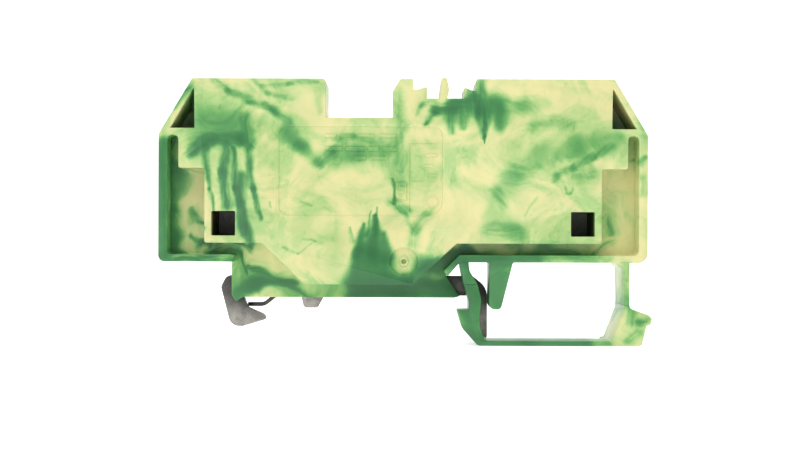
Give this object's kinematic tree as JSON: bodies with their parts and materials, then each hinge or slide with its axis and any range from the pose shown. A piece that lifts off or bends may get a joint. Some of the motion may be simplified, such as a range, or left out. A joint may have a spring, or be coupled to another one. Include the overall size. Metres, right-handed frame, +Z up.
{
  "type": "din rail terminal block",
  "caption": "Ground terminal block for a 35 mm top-hat rail, with two cage-type spring clamps entered from the top and a sprung releasing foot.",
  "frame": {"origin": "middle of the rail seat face, at the rail's centre line", "axes": "+X along the block, across the rail, towards the releasing foot; +Y across the block's width, from the closed face to the open back; +Z up, away from the rail"},
  "size_m": [0.0785, 0.01, 0.0425],
  "materials": {
    "polyamide_housing": "satin",
    "polyamide_latch": "satin",
    "tinned_copper": "satin",
    "plated_steel": "brushed",
    "spring_steel": "polished"
  },
  "bodies": {
    "block": {"housing": "polyamide_housing", "current_bar": "tinned_copper", "ground_leg": "tinned_copper", "foot_plate": "plated_steel", "foot_rivets": "plated_steel", "bar_rivet": "plated_steel", "clamp_spring_left": "spring_steel", "clamp_spring_right": "spring_steel", "latch_flexure_left": "polyamide_latch", "latch_flexure_right": "polyamide_latch"},
    "latch": {"latch_foot": "polyamide_latch"},
    "leaf": {"rail_leaf": "spring_steel"},
    "cage_left": {"clamp_cage_left": "spring_steel"},
    "cage_right": {"clamp_cage_right": "spring_steel"}
  },
  "joints": [
    {"name": "latch_slide", "type": "slide", "parent": "block", "child": "latch", "axis": [1, 0, 0], "range_m": [0, 0.0012], "stiffness_N_per_m": 3000, "deforming": ["latch_flexure_left", "latch_flexure_right"]},
    {"name": "leaf_hinge", "type": "hinge", "parent": "block", "child": "leaf", "pos_m": [-0.01317, 0.0042, 0.0009], "axis": [0, -1, 0], "range_deg": [0, 6], "stiffness_Nm_per_rad": 0.05},
    {"name": "cage_left_hinge", "type": "hinge", "parent": "block", "child": "cage_left", "pos_m": [-0.01205, 0.0004, 0.0148], "axis": [0, -1, 0], "range_deg": [0, 20], "stiffness_Nm_per_rad": 0.2, "deforming": ["clamp_spring_left"]},
    {"name": "cage_right_hinge", "type": "hinge", "parent": "block", "child": "cage_right", "pos_m": [0.02697, 0.0004, 0.0148], "axis": [0, 1, 0], "range_deg": [0, 20], "stiffness_Nm_per_rad": 0.2, "deforming": ["clamp_spring_right"]}
  ]
}
